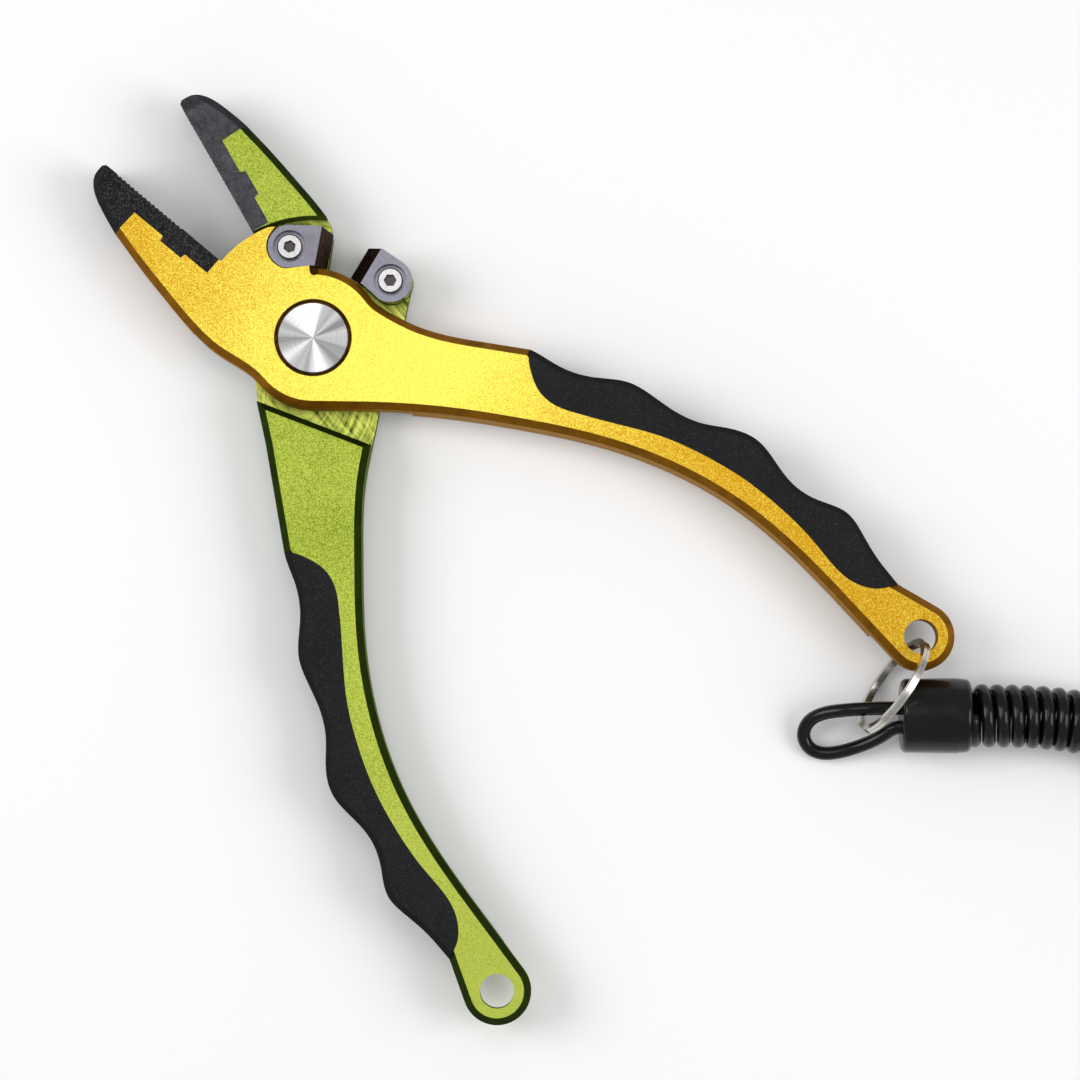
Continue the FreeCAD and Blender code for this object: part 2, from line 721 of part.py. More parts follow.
def cutter_screw(half):
    """A socket head cap screw. Its head lies in the blade's counterbore."""
    body = new_body(f"{half}_cutter_screw")
    length = BLADES[half]["shank"]
    centre = beside_cut(*BLADES[half]["screw"], BLADES[half]["side"])
    floor = "{blade_floor} + {blade_thickness} - {blade_seat_depth}"
    head = "{blade_screw_head_height}"
    pad(body, "head", circle(centre, size("blade_screw_head") / 2), head, floor)
    top = size("blade_floor") + size("blade_thickness") - size("blade_seat_depth")
    top += size("blade_screw_head_height")
    chamfer(body, "head_edge", lambda e: flat_at(e, top), Size="0.2")
    pad(body, "shank", circle(centre, size("blade_screw_dia") / 2), f"{length} + {JOIN}",
        f"{floor} - {length}")
    socket(body, centre, size("blade_screw_socket"), "{blade_socket_depth}", f"{floor} + {head}")
    turned(body, half)
    return body


# ---------------------------------------------------------------- jaw inserts and grips

def insert_outline():
    """The jaw's gripping strip, its key and the tip, with the teeth along the middle line."""
    path = Outline((SEAT_ROOT_X, GRIP_FACE_Y))
    path.line((TOOTH_START, GRIP_FACE_Y))
    for tooth in range(TOOTH_COUNT):
        start = TOOTH_START + tooth * TOOTH_PITCH
        path.line((start + 0.45 * TOOTH_PITCH, GRIP_FACE_Y + TOOTH_DEPTH))
        path.line((start + TOOTH_PITCH, GRIP_FACE_Y))
    path.line((47.8, GRIP_FACE_Y), (48.35, 0.7))
    path.smooth(TIP_OUTER, start=(0.05, 1.0), end=(-1.0, 0.3))
    path.line(*reversed(SEAT[:-1]))
    return path.close()


def tip_facet(body, name, flat, lower):
    """Slopes the tip from one of its flat faces, so that it thins towards its end."""
    before = volume(body)
    wedge = Outline((TIP_FACET_X, flat)).line((TIP_FACET_END, flat), (TIP_FACET_END, lower)).close()
    facet = body.newObject("PartDesign::Pocket", f"{body.Label}_{name}")
    facet.Profile = sketch(body, name, wedge, plane="XZ_Plane")
    facet.Midplane = True
    bind(facet, Length="3 * {total_thickness}")
    if not volume(body) < before:
        raise ValueError(f"{name} of {body.Label} cuts nothing")


def jaw_insert(half):
    body = new_body(f"{half}_jaw_insert")
    top = size("total_thickness")
    pad(body, "blank", own(insert_outline(), half), "{total_thickness}")

    def outer_rim(edge):
        spot = middle(edge)
        return (flat_at(edge, top) or flat_at(edge, 0)) and spot.x > 38.7 and abs(spot.y) > 1.0

    chamfer(body, "rim", outer_rim, Size="{edge_chamfer}")
    drop = size("tip_facet_drop")
    tip_facet(body, "top_facet", top, top - drop)
    tip_facet(body, "bottom_facet", 0.0, drop)
    cross_hole(body, "thread", half, "insert_thread_dia", "{insert_thread_from}",
               "{insert_thread_length}")
    turned(body, half)
    return body


def insert_screw(half):
    """Head, shank and socket, turned about the screw's own axis, which lies along Y."""
    label = f"{half}_jaw_screw"
    head = primitive("Cylinder", f"{label}_head", Radius="{insert_screw_head} / 2",
                     Height="{insert_head_height}")
    shank = primitive("Cylinder", f"{label}_shank", Radius="{insert_screw_dia} / 2",
                      Height="{insert_screw_length}")
    recess = primitive("Prism", f"{label}_recess", Circumradius="0.85", Height="1")
    recess.Polygon = 6
    recess.Placement.Base = Vector(0, 0, -0.01)
    screw = boolean("Cut", label, boolean("Fuse", f"{label}_solid", head, shank), recess)
    sign = 1 if half == "gold" else -1
    turn = size("half_opening") * sign
    along = Rotation(Vector(0, 0, 1), Vector(0, -sign, 0))
    spot = Vector(KEY_MIDDLE_X, sign * size("insert_screw_end"), size("total_thickness") / 2)
    screw.Placement = Placement(Vector(), Rotation(Vector(0, 0, 1), turn)) * Placement(spot, along)
    return screw


def grip(half):
    body = new_body(f"{half}_grip")
    top = size("total_thickness")
    pad(body, "blank", own(grip_area(), half), "{total_thickness}")

    def wave(edge):
        return (flat_at(edge, top) or flat_at(edge, 0)) and abs(middle(edge).y) > 32.0

    chamfer(body, "rim", wave, Size="{grip_chamfer}")
    inside = trim_to_grip(own(web_area(), half), half)
    pocket(body, "web_slot", inside, "{total_thickness} - 2 * {grip_wall}",
           "{total_thickness} - {grip_wall}")
    turned(body, half)
    return body


# ---------------------------------------------------------------- pivot

def primitive(kind, name, **sizes):
    solid = DOC.addObject(f"Part::{kind}", name)
    bind(solid, **sizes)
    return solid


def boolean(kind, label, base, tool):
    joined = DOC.addObject(f"Part::{kind}", label)
    joined.Base, joined.Tool = base, tool
    joined.Label = label
    DOC.recompute()
    return joined


def pivot_bolt():
    """The turned cap and the hollow barrel that both halves turn on, in one piece."""
    body = new_body("pivot_bolt")
    floor = "{total_thickness} - {cap_seat_depth}"
    low = "{screw_seat_depth} + 0.02"
    pad(body, "cap", circle((0, 0), size("cap_dia") / 2), "{cap_thickness}", floor)
    top = size("total_thickness") - size("cap_seat_depth") + size("cap_thickness")
    chamfer(body, "cap_edge", lambda e: flat_at(e, top), Size="0.25")
    pad(body, "barrel", circle((0, 0), size("barrel_dia") / 2), f"{floor} + {JOIN} - ({low})", low)
    pocket(body, "thread", circle((0, 0), size("thread_dia") / 2), "{barrel_thread_length}", low,
           upwards=True)
    return body


def pivot_screw():
    """The screw that closes the barrel from beneath, with a socket for a key."""
    body = new_body("pivot_screw")
    head, rise = "{screw_head_thickness}", "{screw_head_rise}"
    pad(body, "head", circle((0, 0), size("screw_head_dia") / 2), head, rise)
    chamfer(body, "head_edge", lambda e: flat_at(e, size("screw_head_rise")), Size="0.3")
    pad(body, "shank", circle((0, 0), size("thread_shank_dia") / 2), "{screw_shank_length}",
        f"{rise} + {head} - {JOIN}")
    socket(body, (0, 0), size("screw_socket"), "{screw_socket_depth}", rise, upwards=True)
    return body


def washer(label, inner, outer, thickness, height):
    body = new_body(label)
    rings = circle((0, 0), outer) + circle((0, 0), inner)
    pad(body, "ring", rings, thickness, height)
    return body


def spring_slot(side):
    """The slot for a leg of the spring. The green half's is wide enough for the whole travel."""
    radius = size("spring_coil_dia") / 2
    half_width = size("spring_wire") / 2 + 0.15
    reach = SPRING_LEG + half_width
    if side < 0:
        return sector(5.0, math.hypot(radius + half_width, reach) + 0.1, -57.0, 14.0)
    corners = [(radius - half_width, 0.0), (radius + half_width, 0.0), (radius + half_width, reach),
               (radius - half_width, reach)]
    back = [spin(p, -size("half_opening")) for p in corners]
    return Outline(back[0]).line(*back[1:]).close()


def spin(point, degrees):
    turn = math.radians(degrees)
    return (point[0] * math.cos(turn) - point[1] * math.sin(turn),
            point[0] * math.sin(turn) + point[1] * math.cos(turn))


def pivot_spring():
    """The return spring: round wire in flat turns about the barrel, with a straight leg each end."""
    wire_dia, radius = size("spring_wire"), size("spring_coil_dia") / 2
    pitch = wire_dia + 0.06
    height = pitch * SPRING_TURNS
    helix = Part.makeHelix(pitch, height, radius)
    edges = helix.Edges
    start, end = edges[0].valueAt(edges[0].FirstParameter), edges[-1].valueAt(edges[-1].LastParameter)
    into = edges[0].tangentAt(edges[0].FirstParameter)
    out = edges[-1].tangentAt(edges[-1].LastParameter)
    first_leg = Part.makeLine(start - into * SPRING_LEG, start)
    last_leg = Part.makeLine(end, end + out * SPRING_LEG)
    path = Part.Wire([first_leg] + edges + [last_leg])
    ring = Part.Wire([Part.makeCircle(wire_dia / 2, start - into * SPRING_LEG, into)])
    solid = path.makePipeShell([ring], True, True)
    spring = DOC.addObject("Part::Feature", "pivot_spring")
    spring.Shape = solid
    middle_z = (size("lap_floor_low") + size("lap_floor_high")) / 2
    spring.Placement = Placement(Vector(0, 0, middle_z - height / 2), Rotation())
    return spring


# ---------------------------------------------------------------- split ring and lanyard

RING_CENTRE = (-112.045, -39.129)
RING_ALONG = (-0.2784, 0.9605)      # level, from the lug's hole towards the cord loop
RING_LEAN_SIDE = (-0.9605, -0.2784)


def split_ring():
    """Two flat turns of wire, leaning a little from upright, that stand on the ground plane."""
    wall, strand, pitch = size("ring_wall"), size("ring_strand"), size("ring_pitch")
    outer, turns = size("ring_outer_dia") / 2, size("ring_turns")
    helix = Part.makeHelix(pitch, pitch * turns, outer - wall / 2)
    low = -strand / 2
    corners = [Vector(outer - wall, 0, low), Vector(outer, 0, low), Vector(outer, 0, -low),
               Vector(outer - wall, 0, -low)]
    profile = Part.makePolygon(corners + corners[:1])
    solid = Part.Wire(helix.Edges).makePipeShell([profile], True, True)
    ring = DOC.addObject("Part::Feature", "split_ring")
    ring.Shape = solid
    lean = math.radians(size("ring_lean"))
    along = Vector(*RING_ALONG, 0)
    upward = Vector(0, 0, math.cos(lean)) + Vector(*RING_LEAN_SIDE, 0) * math.sin(lean)
    normal = along.cross(upward)
    frame = FreeCAD.Matrix(along.x, upward.x, normal.x, 0, along.y, upward.y, normal.y, 0,
                           along.z, upward.z, normal.z, 0, 0, 0, 0, 1)
    height = outer * math.cos(lean) + pitch * turns * math.sin(lean) + size("ring_clearance")
    centre = Placement(Vector(*RING_CENTRE, height), Rotation())
    centring = Placement(Vector(0, 0, -pitch * turns / 2), Rotation())
    ring.Placement = centre * Placement(frame) * centring
    print("split ring: axis through", tuple(round(c, 3) for c in (*RING_CENTRE, height)),
          "along", tuple(round(c, 4) for c in normal))
    return ring


# The near cap's face towards the loop, and the direction of its axis.
NEAR_CAP = (-117.0, -36.9, 6.6)
NEAR_CAP_TURN = 230.2
NEAR_LOOP = [(-115.75, -37.47, 6.6), (-113.1, -34.2, 7.5), (-110.3, -30.5, 7.0), (-107.9, -26.9, 5.2),
             (-107.3, -24.1, 3.3), (-108.5, -21.8, 2.0), (-111.0, -21.05, 1.45), (-113.4, -22.2, 1.5),
             (-115.3, -25.05, 1.95), (-116.7, -28.4, 2.9), (-117.7, -31.8, 4.4), (-117.85, -35.0, 6.1)]


def ahead(start, degrees, distance):
    turn = math.radians(degrees)
    return (start[0] + distance * math.cos(turn), start[1] + distance * math.sin(turn), start[2])


CAP_GAP = 0.02              # between a cap's end and the coil's
COIL_START = ahead(NEAR_CAP, NEAR_CAP_TURN, size("cord_cap_length") + CAP_GAP)
COIL_ROUTE = [COIL_START, ahead(COIL_START, NEAR_CAP_TURN, 8.5), (-136.2, -58.9, 6.2),
              (-142.9, -64.2, 5.75), (-150.4, -68.2, 5.7), (-158.5, -70.9, 5.7),
              (-166.9, -72.1, 5.7), (-175.4, -71.8, 5.75), (-183.7, -70.0, 6.6)]
FAR_CAP_TURN = 158.0
COIL_ROUTE.append(ahead(COIL_ROUTE[-1], FAR_CAP_TURN, 8.5))
FAR_CAP = ahead(COIL_ROUTE[-1], FAR_CAP_TURN, CAP_GAP)
# From the far cap's outer face: along its axis, beside it, and the height above the ground.
FAR_LOOP = [(0.3, 1.5, 6.6), (4.3, 2.3, 6.1), (8.6, 2.95, 5.5), (12.9, 3.1, 4.8),
            (14.7, 1.3, 4.5), (14.7, -1.3, 4.5), (12.9, -3.1, 4.8), (8.6, -2.95, 5.5),
            (4.3, -2.3, 6.1), (0.3, -1.5, 6.6)]


def tube(label, points, diameter):
    """A round tube along straight runs that tangent arcs join."""
    spots = [Vector(*p) for p in points]
    edges, radii, at = [], [], spots[0]
    for before, corner, after in zip(spots, spots[1:], spots[2:]):
        one, two = before - corner, after - corner
        turn = math.pi - one.getAngle(two)
        shorter = min(one.Length, two.Length)
        cut = 0.45 * shorter
        radius = cut / math.tan(turn / 2)
        radii.append(round(radius, 1))
        one, two = one.normalize(), two.normalize()
        start, end = corner + one * cut, corner + two * cut
        inward = (one + two).normalize()
        centre = corner + inward * (radius / math.cos(turn / 2))
        edges.append(Part.LineSegment(at, start).toShape())
        edges.append(Part.Arc(start, centre - inward * radius, end).toShape())
        at = end
    edges.append(Part.LineSegment(at, spots[-1]).toShape())
    path = Part.Wire(edges)
    ring = Part.Wire([Part.makeCircle(diameter / 2, spots[0], spots[1] - spots[0])])
    solid = path.makePipeShell([ring], True, False)
    expected = math.pi * diameter ** 2 / 4 * path.Length
    print(f"{label}: length {path.Length:.1f}, radii {radii}, volume ratio "
          f"{solid.Volume / expected:.3f}")
    cord = DOC.addObject("Part::Feature", label)
    cord.Shape = solid
    return cord


def at_far_cap(distance=0.0, height=0.0):
    turn = math.radians(FAR_CAP_TURN)
    base = Vector(*FAR_CAP) + Vector(math.cos(turn), math.sin(turn), 0) * distance
    base.z = height
    return Placement(base, Rotation(Vector(0, 0, 1), FAR_CAP_TURN))


def placed_points(points, placement):
    return [tuple(round(c, 2) for c in placement.multVec(Vector(*p))) for p in points]


def cord_cap(label, base, turn):
    """A moulded rubber cap, with a rounded collar at the coil's end. Its axis is level."""
    body = new_body(label)
    length, radius = size("cord_cap_length"), size("cord_cap_dia") / 2
    path = Outline((0.0, 0.0))
    path.line((0.0, radius - 0.9))
    path.arc((0.3, radius - 0.35), (0.9, radius - 0.1))
    path.line((length - 2.6, radius), (length - 1.1, radius - 0.15))
    path.arc((length - 0.35, radius - 0.4), (length, radius - 1.1))
    path.line((length, 0.0))
    sk = sketch(body, "profile", path.close())
    turned_solid = body.newObject("PartDesign::Revolution", f"{label}_revolution")
    turned_solid.Profile = sk
    turned_solid.ReferenceAxis = (sk, ["H_Axis"])
    turned_solid.Angle = 360
    DOC.recompute()
    body.Placement = Placement(Vector(*base), Rotation(Vector(0, 0, 1), turn))
    return body


# Along the clip's axis from the far cap's outer face.
CLIP_HEIGHT = 5.1
EYE_AT = 16.2
SWIVEL_STEPS = (("collar", 20.5, 22.6, 2.0), ("stud", 22.4, 26.6, 1.0), ("head", 25.4, 26.6, 1.7))


def swivel_eye():
    """The ring that the far cord loop holds, with its collar and the headed stud."""
    ring = primitive("Torus", "swivel_ring", Radius1="4.2", Radius2="0.8")
    ring.Placement = Placement(Vector(EYE_AT, 0, 0), Rotation(Vector(1, 0, 0), 90))
    solid = ring
    for name, start, end, radius in SWIVEL_STEPS:
        part = primitive("Cylinder", f"swivel_{name}", Radius=f"{radius}",
                         Height=f"{end - start}")
        part.Placement = Placement(Vector(start, 0, 0), Rotation(Vector(0, 1, 0), 90))
        joined = "swivel_eye" if name == "head" else f"swivel_with_{name}"
        solid = boolean("Fuse", joined, solid, part)
    solid.Placement = at_far_cap(size("cord_cap_length"), CLIP_HEIGHT)
    return solid


CLIP_BAR, CLIP_HALF = 2.6, 6.3      # the hook's width of bar, and half of its whole width
CLIP_PIN = (32.3, -5.0)
STUD_ROOM = 1.85                    # the radius that the stud's head turns in


def clip_body():
    """The swivel clip: a barrel round the stud, and a flat hook with a gap for its gate."""
    body = new_body("clip_body")
    inner = CLIP_HALF - CLIP_BAR
    path = Outline((26.9, -3.0))
    path.line((26.9, 3.0), (31.0, CLIP_HALF), (46.0, CLIP_HALF))
    path.arc((46.0 + CLIP_HALF, 0.0), (46.0, -CLIP_HALF))
    path.line((44.4, -CLIP_HALF), (44.4, -inner), (46.0, -inner))
    path.arc((46.0 + inner, 0.0), (46.0, inner))
    path.line((33.0, inner), (30.9, 1.6), (30.9, -2.6), (31.6, -inner), (33.6, -inner),
              (33.6, -CLIP_HALF), (30.6, -CLIP_HALF))
    pad(body, "hook", path.close(), "{clip_thickness}", "-{clip_thickness} / 2")
    before = volume(body)
    profile = Outline((22.8, 1.05)).line((22.8, 3.0), (28.6, 3.0), (28.6, 0.0), (27.0, 0.0),
                                         (27.0, STUD_ROOM), (25.1, STUD_ROOM),
                                         (25.1, 1.05)).close()
    sk = sketch(body, "barrel", profile)
    barrel = body.newObject("PartDesign::Revolution", "clip_body_barrel")
    barrel.Profile = sk
    barrel.ReferenceAxis = (sk, ["H_Axis"])
    barrel.Angle = 360
    if not volume(body) > before:
        raise ValueError("the clip's barrel adds nothing")
    slot = Outline((30.9, -6.6)).line((34.0, -6.6), (34.0, -3.3), (30.9, -3.3)).close()
    pocket(body, "gate_slot", slot, "1.3", "0.65")
    room = Outline((25.1, -STUD_ROOM)).line((27.0, -STUD_ROOM), (27.0, STUD_ROOM), (25.1, STUD_ROOM))
    pocket(body, "stud_room", room.close(), f"{2 * STUD_ROOM}", f"{STUD_ROOM}")
    hole = circle(CLIP_PIN, size("clip_pin_dia") / 2 + 0.02)
    pocket(body, "pin_hole", hole, "{clip_thickness}", "{clip_thickness} / 2")
    half_thick = size("clip_thickness") / 2

    def rim(edge):
        spot = middle(edge)
        return (flat_at(edge, half_thick) or flat_at(edge, -half_thick)) and spot.x > 40

    chamfer(body, "rim", rim, Size="0.5")
    body.Placement = at_far_cap(size("cord_cap_length"), CLIP_HEIGHT)
    return body


def clip_gate():
    """The gate: a bar across the hook's gap, with a thin tongue round the pin."""
    body = new_body("clip_gate")
    x, y = CLIP_PIN
    tongue = Outline((x, y + 1.0)).arc((x - 1.0, y), (x, y - 1.0)).line((35.0, y - 1.0), (35.0, y + 1.0))
    pad(body, "tongue", tongue.close(), "1.1", "-0.55")
    bar = Outline((34.2, y - 1.1)).line((44.15, y - 1.1), (44.15, y + 1.1), (34.2, y + 1.1))
    pad(body, "bar", bar.close(), "2.6", "-1.3")
    hole = circle(CLIP_PIN, size("clip_pin_dia") / 2 + 0.04)
    pocket(body, "pin_hole", hole, "{clip_thickness}", "{clip_thickness} / 2")
    body.Placement = at_far_cap(size("cord_cap_length"), CLIP_HEIGHT)
    return body


def clip_pin():
    pin = primitive("Cylinder", "clip_pin", Radius="{clip_pin_dia} / 2", Height="{clip_thickness}")
    low = Placement(Vector(*CLIP_PIN, -size("clip_thickness") / 2), Rotation())
    pin.Placement = at_far_cap(size("cord_cap_length"), CLIP_HEIGHT) * low
    return pin


# ---------------------------------------------------------------- build and write

def build():
    nodes = [gold_half(), green_half()]
    for half in ("gold", "green"):
        nodes += [jaw_insert(half), insert_screw(half), grip(half), cutter(half), cutter_screw(half)]
    nodes += [pivot_bolt(), pivot_screw(), pivot_spring()]
    nodes.append(washer("back_washer", size("barrel_dia") / 2 + 0.1, size("screw_head_dia") / 2,
                        "{back_washer_thickness}", "{screw_seat_depth} - {back_washer_thickness}"))
    nodes.append(washer("lap_washer", size("washer_inner_dia") / 2, size("washer_outer_dia") / 2,
                        "{washer_thickness}", "{lap_floor_low} - {washer_seat_depth} + 0.02"))
    nodes.append(split_ring())
    nodes.append(tube("near_cord_loop", NEAR_LOOP, size("cord_dia")))
    nodes.append(cord_cap("near_cord_cap", NEAR_CAP, NEAR_CAP_TURN))
    nodes.append(tube("lanyard_coil", COIL_ROUTE, size("coil_dia")))
    nodes.append(cord_cap("far_cord_cap", FAR_CAP, FAR_CAP_TURN))
    far = placed_points(FAR_LOOP, at_far_cap(size("cord_cap_length"), 0.0))
    print("far loop:", far)
    nodes.append(tube("far_cord_loop", far, size("cord_dia")))
    nodes += [swivel_eye(), clip_body(), clip_gate(), clip_pin()]
    return nodes


def check(nodes):
    DOC.recompute()
    for thing in DOC.Objects:
        if "Invalid" in thing.State or "Error" in thing.State:
            raise ValueError(f"{thing.Name} failed: {thing.State}")
    for node in nodes:
        shape = node.Shape
        if shape.isNull() or not shape.isValid() or shape.Volume <= 0:
            raise ValueError(f"{node.Label} has no valid solid")
        if len(shape.Solids) != 1:
            raise ValueError(f"{node.Label} is {len(shape.Solids)} solids")


def write(nodes):
    os.makedirs("parts", exist_ok=True)
    for node in nodes:
        node.Shape.exportStep(f"parts/{node.Label}.step")


NODES = build()
check(NODES)
write(NODES)
print(len(NODES), "nodes")
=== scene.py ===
"""Fishing pliers on a pale floor. The lanyard is drawn as real cord, and everything gets its finish."""

import math

import bpy
from mathutils import Matrix, Vector


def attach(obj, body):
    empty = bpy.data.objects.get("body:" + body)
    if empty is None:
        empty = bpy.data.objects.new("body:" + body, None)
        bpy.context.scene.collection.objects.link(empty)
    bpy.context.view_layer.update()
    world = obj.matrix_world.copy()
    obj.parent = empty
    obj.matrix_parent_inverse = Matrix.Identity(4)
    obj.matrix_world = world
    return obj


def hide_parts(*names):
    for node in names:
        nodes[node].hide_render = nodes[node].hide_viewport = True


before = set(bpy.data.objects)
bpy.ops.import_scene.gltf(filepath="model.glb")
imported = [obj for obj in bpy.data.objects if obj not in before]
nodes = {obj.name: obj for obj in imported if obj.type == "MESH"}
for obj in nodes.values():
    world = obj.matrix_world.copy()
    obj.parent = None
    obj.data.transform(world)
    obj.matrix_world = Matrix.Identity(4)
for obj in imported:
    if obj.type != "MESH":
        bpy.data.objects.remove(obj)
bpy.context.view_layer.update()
scene = bpy.context.scene

MM = 0.001
scene.view_settings.view_transform = "Standard"

# ---------------------------------------------------------------- camera

IMAGE_UP = Vector((0.7683, -0.6401, 0.0))       # the picture's upward direction on the ground plane
VIEW_CENTRE = Vector((-52.6, -8.1, 5.0)) * MM
VIEW_WIDTH = 190.6 * MM
CAMERA_DISTANCE = 0.75
CAMERA_TILT = math.radians(4.0)                 # away from straight down
SENSOR_WIDTH = 36.0                             # millimetres, as the lens is


def make_camera():
    """A long lens nearly straight above the pliers."""
    data = bpy.data.cameras.new("camera")
    data.sensor_width = SENSOR_WIDTH
    data.lens = SENSOR_WIDTH * CAMERA_DISTANCE / VIEW_WIDTH
    data.clip_start, data.clip_end = 0.05, 20.0
    camera = bpy.data.objects.new("camera", data)
    away = Vector((0, 0, math.cos(CAMERA_TILT))) - IMAGE_UP * math.sin(CAMERA_TILT)
    camera.location = VIEW_CENTRE + away * CAMERA_DISTANCE
    side = IMAGE_UP.cross(away).normalized()
    upward = away.cross(side).normalized()
    camera.rotation_mode = "QUATERNION"
    rows = ((side.x, upward.x, away.x), (side.y, upward.y, away.y), (side.z, upward.z, away.z))
    camera.rotation_quaternion = Matrix(rows).to_quaternion()
    scene.collection.objects.link(camera)
    scene.camera = camera


make_camera()

# ---------------------------------------------------------------- the lanyard's cord

CORD = 2.4 * MM
COIL_MEAN_RADIUS = 4.42 * MM
COIL_PITCH = 2.62 * MM
LOOP_HOLD = 1.6                         # how deep a loop's ends go into their cap, in millimetres


def ahead(start, degrees, distance):
    """A point moved level, some way in a direction that is given in degrees from +X."""
    turn = math.radians(degrees)
    return (start[0] + distance * math.cos(turn), start[1] + distance * math.sin(turn), start[2])


# The routes of the cord's solids, in millimetres. Each cap's place is its face towards the pliers.
NEAR_CAP = (-117.0, -36.9, 6.6)
NEAR_CAP_TURN, FAR_CAP_TURN = 230.2, 158.0
CAP_LENGTH = 12.2
CAP_GAP = 0.02
COIL_START = ahead(NEAR_CAP, NEAR_CAP_TURN, CAP_LENGTH + CAP_GAP)
COIL_ROUTE = [COIL_START, ahead(COIL_START, NEAR_CAP_TURN, 8.5), (-136.2, -58.9, 6.2),
              (-142.9, -64.2, 5.75), (-150.4, -68.2, 5.7), (-158.5, -70.9, 5.7),
              (-166.9, -72.1, 5.7), (-175.4, -71.8, 5.75), (-183.7, -70.0, 6.6)]
COIL_ROUTE.append(ahead(COIL_ROUTE[-1], FAR_CAP_TURN, 8.5))
FAR_CAP = ahead(COIL_ROUTE[-1], FAR_CAP_TURN, CAP_GAP)
NEAR_LOOP = [(-115.75, -37.47, 6.6), (-113.1, -34.2, 7.5), (-110.3, -30.5, 7.0), (-107.9, -26.9, 5.2),
             (-107.3, -24.1, 3.3), (-108.5, -21.8, 2.0), (-111.0, -21.05, 1.45), (-113.4, -22.2, 1.5),
             (-115.3, -25.05, 1.95), (-116.7, -28.4, 2.9), (-117.7, -31.8, 4.4), (-117.85, -35.0, 6.1)]
FAR_LOOP = [(0.3, 1.5, 6.6), (4.3, 2.3, 6.1), (8.6, 2.95, 5.5), (12.9, 3.1, 4.8), (14.7, 1.3, 4.5),
            (14.7, -1.3, 4.5), (12.9, -3.1, 4.8), (8.6, -2.95, 5.5), (4.3, -2.3, 6.1), (0.3, -1.5, 6.6)]


def from_far_cap(point):
    """A point given along and beside the far cap's axis, from its outer face."""
    end = ahead(FAR_CAP, FAR_CAP_TURN, CAP_LENGTH)
    turn = math.radians(FAR_CAP_TURN)
    return (end[0] + point[0] * math.cos(turn) - point[1] * math.sin(turn),
            end[1] + point[0] * math.sin(turn) + point[1] * math.cos(turn), point[2])


def spline_curve(name, points, thickness):
    """A NURBS curve with these control points, in metres. Its points' radius sets its thickness."""
    data = bpy.data.curves.new(name, "CURVE")
    data.dimensions = "3D"
    data.resolution_u = 24
    data.bevel_depth = 1.0 if thickness else 0.0
    data.bevel_resolution = 7
    spline = data.splines.new("NURBS")
    spline.points.add(len(points) - 1)
    for spot, point in zip(spline.points, points):
        spot.co = (*[c * MM for c in point], 1.0)
        spot.radius = thickness / 2
    spline.order_u = 3
    spline.use_endpoint_u = True
    curve = bpy.data.objects.new(name, data)
    scene.collection.objects.link(curve)
    return curve


def line_of(points):
    """The smooth line that a spline with these control points follows."""
    curve = spline_curve("route", points, 0.0)
    bpy.context.view_layer.update()
    mesh = bpy.data.meshes.new_from_object(curve.evaluated_get(bpy.context.evaluated_depsgraph_get()))
    line = [v.co.copy() for v in mesh.vertices]
    bpy.data.meshes.remove(mesh)
    bpy.data.objects.remove(curve)
    return line


def even_steps(line, step):
    """Points a step apart along a line, each with its direction and its distance from the start."""
    lengths = [0.0]
    for a, b in zip(line, line[1:]):
        lengths.append(lengths[-1] + (b - a).length)
    count = max(2, round(lengths[-1] / step))
    spots, i = [], 0
    for k in range(count + 1):
        at = lengths[-1] * k / count
        while i < len(line) - 2 and lengths[i + 1] < at:
            i += 1
        part = (at - lengths[i]) / (lengths[i + 1] - lengths[i])
        spots.append((line[i].lerp(line[i + 1], part), (line[i + 1] - line[i]).normalized(), at))
    return spots


def helix_about(line, radius, pitch, per_turn=26):
    """A helix round a line, from its start to its end."""
    up = Vector((0, 0, 1))
    helix = []
    for centre, forward, at in even_steps(line, pitch / per_turn):
        side = forward.cross(up).normalized()
        over = side.cross(forward).normalized()
        turn = 2 * math.pi * at / pitch
        helix.append(centre + radius * (math.cos(turn) * over + math.sin(turn) * side))
    return helix


def tube_mesh(name, path, radius, sides=16):
    """A closed round tube along a path, as a mesh."""
    forward = [(b - a).normalized() for a, b in zip(path[:-1], path[1:])]
    forward.append(forward[-1])
    normal = forward[0].orthogonal().normalized()
    vertices, faces = [], []
    for i, (spot, ahead_here) in enumerate(zip(path, forward)):
        normal = (normal - ahead_here * normal.dot(ahead_here)).normalized()
        other = ahead_here.cross(normal)
        for k in range(sides):
            turn = 2 * math.pi * k / sides
            vertices.append(spot + radius * (math.cos(turn) * normal + math.sin(turn) * other))
        if i:
            for k in range(sides):
                near, far = (i - 1) * sides, i * sides
                faces.append((near + k, near + (k + 1) % sides, far + (k + 1) % sides, far + k))
    faces.append(tuple(reversed(range(sides))))
    faces.append(tuple(range(len(vertices) - sides, len(vertices))))
    mesh = bpy.data.meshes.new(name)
    mesh.from_pydata([tuple(v) for v in vertices], [], faces)
    mesh.shade_smooth()
    thing = bpy.data.objects.new(name, mesh)
    scene.collection.objects.link(thing)
    return thing


def length_of(path):
    """The length of a line of points."""
    return sum((b - a).length for a, b in zip(path, path[1:]))


